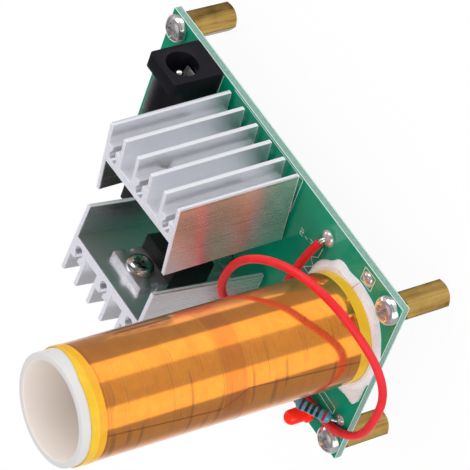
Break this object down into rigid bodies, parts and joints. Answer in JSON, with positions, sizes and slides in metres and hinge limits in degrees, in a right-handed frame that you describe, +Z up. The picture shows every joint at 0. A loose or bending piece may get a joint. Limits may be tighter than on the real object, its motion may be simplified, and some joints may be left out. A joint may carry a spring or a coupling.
{
  "type": "desktop resonant transformer",
  "caption": "Air-cored resonant transformer on a small circuit board with heat-sinked transistors, a loose primary loop, power and audio sockets and standoff feet.",
  "frame": {"origin": "centre of the four standoffs' feet, on the plane that they stand on", "axes": "+Z up along the coil, +X along the board's length towards the coil, +Y towards the edge with the power socket"},
  "size_m": [0.0846, 0.0446, 0.0726],
  "materials": {
    "board_laminate": "green solder mask",
    "turned_brass": "turned",
    "plated_steel": "zinc plated",
    "extruded_aluminium": "brushed along the extrusion",
    "tinned_metal": "tinned",
    "nickel_plate": "nickel plated",
    "black_epoxy": "moulded",
    "charcoal_plastic": "moulded",
    "white_tube": "smooth",
    "enamelled_copper": "close-wound enamelled wire",
    "amber_tape": "clear amber film",
    "yellow_tape": "smooth film",
    "white_glue": "set by hand",
    "red_insulation": "smooth sheath",
    "red_lens": "tinted epoxy",
    "blue_resistor": "lacquered, with colour bands",
    "dipped_capacitor": "dipped",
    "solder": "bright"
  },
  "bodies": {
    "chassis": {"circuit_board": "board_laminate", "board_standoffs": "turned_brass", "board_screws": "plated_steel", "transistor_screws": "plated_steel", "heat_sink_a": "extruded_aluminium", "heat_sink_b": "extruded_aluminium", "heat_sink_pins": "tinned_metal", "transistor_a_tab": "tinned_metal", "transistor_b_tab": "tinned_metal", "transistor_a_case": "black_epoxy", "transistor_b_case": "black_epoxy", "transistor_a_leads": "tinned_metal", "transistor_b_leads": "tinned_metal", "dc_jack_housing": "charcoal_plastic", "dc_jack_centre_pin": "nickel_plate", "dc_jack_terminals": "tinned_metal", "audio_jack_housing": "charcoal_plastic", "audio_jack_terminals": "tinned_metal", "audio_jack_sleeve": "nickel_plate", "coil_former": "white_tube", "secondary_winding": "enamelled_copper", "winding_tape": "amber_tape", "lower_tape_band": "yellow_tape", "upper_tape_band": "yellow_tape", "secondary_lead": "enamelled_copper", "coil_glue": "white_glue", "primary_wire": "red_insulation", "primary_wire_ends": "tinned_metal", "led_lens": "red_lens", "led_leads": "tinned_metal", "resistor_a": "blue_resistor", "resistor_b": "blue_resistor", "resistor_a_leads": "tinned_metal", "resistor_b_leads": "tinned_metal", "capacitor_body": "dipped_capacitor", "capacitor_leads": "tinned_metal", "solder_joints": "solder", "pad_solder": "solder"},
    "power_leaf": {"dc_jack_spring_contact": "nickel_plate"},
    "tip_contact": {"audio_jack_tip_contact": "nickel_plate"},
    "ring_contact": {"audio_jack_ring_contact": "nickel_plate"}
  },
  "joints": [
    {"name": "power_leaf_flex", "type": "hinge", "parent": "chassis", "child": "power_leaf", "pos_m": [-0.0255, 0.0088, 0.0142], "axis": [1, 0, 0], "range_deg": [-5, 0], "stiffness_Nm_per_rad": 0.1},
    {"name": "tip_contact_flex", "type": "hinge", "parent": "chassis", "child": "tip_contact", "pos_m": [-0.02525, -0.0154, 0.0141], "axis": [0, 0, 1], "range_deg": [-5, 0], "stiffness_Nm_per_rad": 0.05},
    {"name": "ring_contact_flex", "type": "hinge", "parent": "chassis", "child": "ring_contact", "pos_m": [-0.02995, -0.0172, 0.0141], "axis": [0, 0, 1], "range_deg": [0, 5], "stiffness_Nm_per_rad": 0.05}
  ]
}
